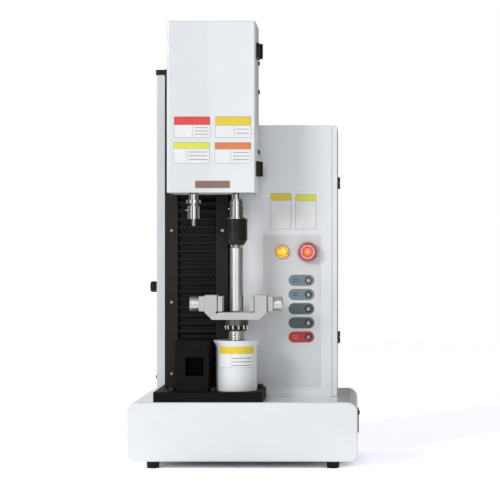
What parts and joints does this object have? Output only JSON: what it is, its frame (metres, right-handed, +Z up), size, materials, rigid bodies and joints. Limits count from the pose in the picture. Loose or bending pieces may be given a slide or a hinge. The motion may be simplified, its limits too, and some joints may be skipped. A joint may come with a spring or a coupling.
{
  "type": "screw insertion force tester",
  "caption": "Bench tester with a lifting crosshead, twin spindles, a drill chuck over a small vise on a torque sensor, a fixture block and a control cabinet.",
  "frame": {"origin": "on the table under the middle of the base", "axes": "+Z up, front facing -Y, +X to the right seen from the front"},
  "size_m": [0.4508, 0.36, 0.867],
  "materials": {
    "white_paint": "semi-gloss powder coat",
    "black_anodise": "matt black anodise",
    "black_paint": "satin black paint",
    "grey_paint": "satin grey paint",
    "satin_aluminium": "satin machined",
    "ground_steel": "ground",
    "knurled_steel": "knurled and turned",
    "black_oxide": "black oxide",
    "polished_chrome": "polished",
    "rubber": "matt",
    "bellows_cloth": "coated cloth",
    "black_plastic": "matt moulded",
    "rocker_plastic": "gloss",
    "panel_film": "satin printed film",
    "board_laminate": "solder mask",
    "yellow_lens": "lit lens",
    "red_plastic": "gloss"
  },
  "bodies": {
    "base": {"feet": "rubber", "base_chassis": "ground_steel", "base_shell": "white_paint", "base_plate": "black_anodise", "power_inlet": "black_plastic", "module_frame": "black_anodise", "module_strips": "black_anodise", "guide_rails": "ground_steel", "lift_motor": "black_paint", "bellows_lower": "bellows_cloth", "bellows_upper": "bellows_cloth", "column": "grey_paint", "rear_cover": "white_paint", "column_cap": "black_plastic", "cable_gland": "black_plastic", "sensor_housing": "white_paint", "torque_sensor": "ground_steel", "vise_stem": "polished_chrome", "vise_body": "satin_aluminium", "screw_blocks": "satin_aluminium", "fixture_block": "black_anodise", "cabinet_shell": "white_paint", "cabinet_hinge_frames": "black_plastic", "panel_overlay": "panel_film", "switch_bodies": "polished_chrome", "control_board": "board_laminate", "power_supply": "ground_steel", "frame_screws": "ground_steel"},
    "lift_screw": {"lift_screw": "ground_steel"},
    "crosshead": {"carriage": "satin_aluminium", "guide_blocks": "ground_steel", "head_bracket": "black_paint", "spindle_motors": "black_paint", "hood_shell": "white_paint", "hood_hinge_frames": "black_plastic"},
    "hood_door": {"hood_door": "white_paint", "hood_hinge_leaves": "black_plastic"},
    "left_spindle": {"left_spindle": "polished_chrome"},
    "right_spindle": {"right_spindle": "polished_chrome", "chuck_body": "black_oxide", "test_rod": "polished_chrome"},
    "chuck_sleeve": {"chuck_sleeve": "black_oxide"},
    "chuck_jaw_1": {"chuck_jaw_1": "ground_steel"},
    "chuck_jaw_2": {"chuck_jaw_2": "ground_steel"},
    "chuck_jaw_3": {"chuck_jaw_3": "ground_steel"},
    "left_jaw": {"left_jaw": "satin_aluminium"},
    "right_jaw": {"right_jaw": "satin_aluminium"},
    "left_knob": {"left_knob": "knurled_steel"},
    "right_knob": {"right_knob": "knurled_steel"},
    "cabinet_door": {"cabinet_door": "white_paint", "cabinet_hinge_leaves": "black_plastic"},
    "power_rocker": {"power_rocker": "rocker_plastic"},
    "start_button": {"start_button": "yellow_lens"},
    "estop_stem": {"estop_stem": "black_plastic"},
    "estop_head": {"estop_head": "red_plastic"},
    "panel_button_1": {"panel_button_1": "ground_steel"},
    "panel_button_2": {"panel_button_2": "ground_steel"},
    "panel_button_3": {"panel_button_3": "ground_steel"},
    "panel_button_4": {"panel_button_4": "ground_steel"},
    "panel_button_5": {"panel_button_5": "ground_steel"}
  },
  "joints": [
    {"name": "crosshead_lift", "type": "slide", "parent": "base", "child": "crosshead", "axis": [0, 0, 1], "range_m": [0, 0.1], "deforming": ["bellows_lower", "bellows_upper"]},
    {"name": "lift_screw_turn", "type": "hinge", "parent": "base", "child": "lift_screw", "pos_m": [-0.099, -0.008, 0.13], "axis": [0, 0, -1], "range_deg": [0, 7200]},
    {"name": "hood_door_hinge", "type": "hinge", "parent": "crosshead", "child": "hood_door", "pos_m": [0.03125, -0.11975, 0.7], "axis": [0, 0, 1], "range_deg": [0, 110]},
    {"name": "left_spindle_turn", "type": "hinge", "parent": "crosshead", "child": "left_spindle", "pos_m": [-0.099, -0.12, 0.5], "axis": [0, 0, 1], "continuous": true},
    {"name": "right_spindle_turn", "type": "hinge", "parent": "crosshead", "child": "right_spindle", "pos_m": [-0.015, -0.12, 0.5], "axis": [0, 0, 1], "continuous": true},
    {"name": "chuck_sleeve_turn", "type": "hinge", "parent": "right_spindle", "child": "chuck_sleeve", "pos_m": [-0.015, -0.12, 0.46], "axis": [0, 0, -1], "range_deg": [0, 900]},
    {"name": "chuck_jaw_1_slide", "type": "slide", "parent": "right_spindle", "child": "chuck_jaw_1", "axis": [0, -0.1736, 0.9848], "range_m": [0, 0.005]},
    {"name": "chuck_jaw_2_slide", "type": "slide", "parent": "right_spindle", "child": "chuck_jaw_2", "axis": [0.1504, 0.0868, 0.9848], "range_m": [0, 0.005]},
    {"name": "chuck_jaw_3_slide", "type": "slide", "parent": "right_spindle", "child": "chuck_jaw_3", "axis": [-0.1504, 0.0868, 0.9848], "range_m": [0, 0.005]},
    {"name": "left_knob_turn", "type": "hinge", "parent": "base", "child": "left_knob", "pos_m": [-0.015, -0.12, 0.3187], "axis": [1, 0, 0], "range_deg": [0, 1800]},
    {"name": "left_jaw_slide", "type": "slide", "parent": "base", "child": "left_jaw", "axis": [1, 0, 0], "range_m": [0, 0.0125]},
    {"name": "right_knob_turn", "type": "hinge", "parent": "base", "child": "right_knob", "pos_m": [-0.015, -0.12, 0.3187], "axis": [-1, 0, 0], "range_deg": [0, 1800]},
    {"name": "right_jaw_slide", "type": "slide", "parent": "base", "child": "right_jaw", "axis": [-1, 0, 0], "range_m": [0, 0.0125]},
    {"name": "cabinet_door_hinge", "type": "hinge", "parent": "base", "child": "cabinet_door", "pos_m": [0.1828, 0.1538, 0.4], "axis": [0, 0, 1], "range_deg": [0, 100]},
    {"name": "power_rocker_tilt", "type": "hinge", "parent": "base", "child": "power_rocker", "pos_m": [0.2213, 0.063, 0.0882], "axis": [0, -1, 0], "range_deg": [0, 14]},
    {"name": "start_button_push", "type": "slide", "parent": "base", "child": "start_button", "axis": [0, 1, 0], "range_m": [0, 0.0035], "stiffness_N_per_m": 400},
    {"name": "estop_push", "type": "slide", "parent": "base", "child": "estop_stem", "axis": [0, 1, 0], "range_m": [0, 0.004]},
    {"name": "estop_twist", "type": "hinge", "parent": "estop_stem", "child": "estop_head", "pos_m": [0.1227, -0.05, 0.42], "axis": [0, 1, 0], "range_deg": [0, 45], "stiffness_Nm_per_rad": 0.08},
    {"name": "panel_button_1_push", "type": "slide", "parent": "base", "child": "panel_button_1", "axis": [0, 1, 0], "range_m": [0, 0.0015], "stiffness_N_per_m": 400},
    {"name": "panel_button_2_push", "type": "slide", "parent": "base", "child": "panel_button_2", "axis": [0, 1, 0], "range_m": [0, 0.0015], "stiffness_N_per_m": 400},
    {"name": "panel_button_3_push", "type": "slide", "parent": "base", "child": "panel_button_3", "axis": [0, 1, 0], "range_m": [0, 0.0015], "stiffness_N_per_m": 400},
    {"name": "panel_button_4_push", "type": "slide", "parent": "base", "child": "panel_button_4", "axis": [0, 1, 0], "range_m": [0, 0.0015], "stiffness_N_per_m": 400},
    {"name": "panel_button_5_push", "type": "slide", "parent": "base", "child": "panel_button_5", "axis": [0, 1, 0], "range_m": [0, 0.0015], "stiffness_N_per_m": 400}
  ],
  "couplings": [
    {"joint": "lift_screw_turn", "follows": "crosshead_lift", "rad_per_m": 1256.6},
    {"joint": "chuck_jaw_1_slide", "follows": "chuck_sleeve_turn", "m_per_rad": 0.0003183},
    {"joint": "chuck_jaw_2_slide", "follows": "chuck_sleeve_turn", "m_per_rad": 0.0003183},
    {"joint": "chuck_jaw_3_slide", "follows": "chuck_sleeve_turn", "m_per_rad": 0.0003183},
    {"joint": "left_jaw_slide", "follows": "left_knob_turn", "m_per_rad": 0.00039788},
    {"joint": "right_jaw_slide", "follows": "right_knob_turn", "m_per_rad": 0.00039788}
  ]
}
